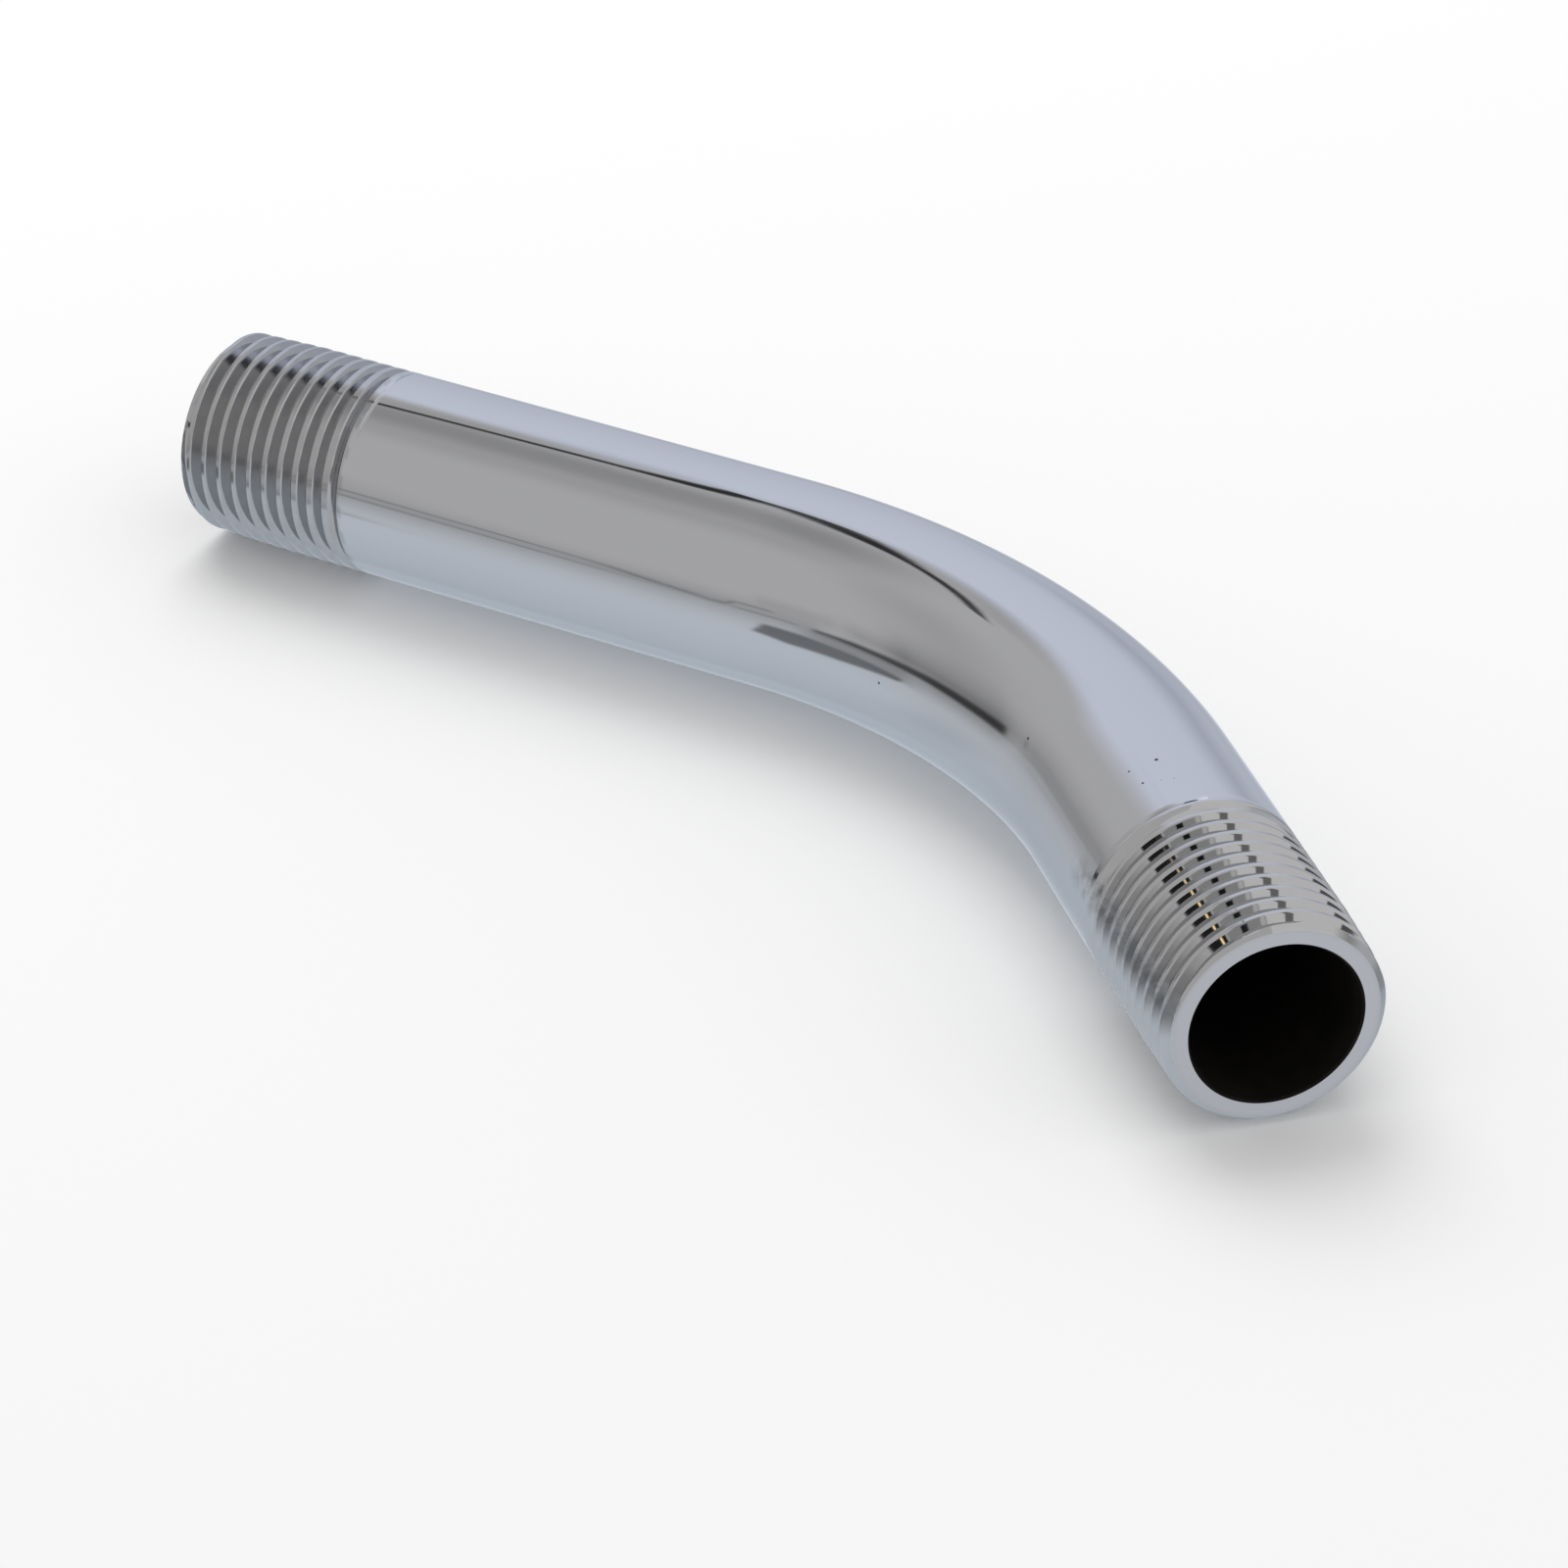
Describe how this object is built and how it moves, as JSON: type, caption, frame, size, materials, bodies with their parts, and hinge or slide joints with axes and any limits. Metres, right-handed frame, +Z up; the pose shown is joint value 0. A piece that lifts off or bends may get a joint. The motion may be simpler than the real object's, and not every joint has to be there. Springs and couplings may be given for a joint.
{
  "type": "shower arm",
  "caption": "Bent tube that carries a shower head: a long wall leg, a smooth bend and a short outlet leg, with a male taper pipe thread at each end.",
  "frame": {"origin": "centre of the inlet end face, on the tube's axis", "axes": "+X along the long wall leg, from the inlet towards the bend; the bend lies in the XY plane and turns the outlet leg 45 degrees towards -Y; +Z up, with the arm lying on its side"},
  "size_m": [0.144, 0.0628, 0.0206],
  "materials": {
    "chrome_plate": "polished chrome plate on brass, dark inside the bore"
  },
  "bodies": {
    "root": {"arm": "chrome_plate"}
  },
  "joints": []
}
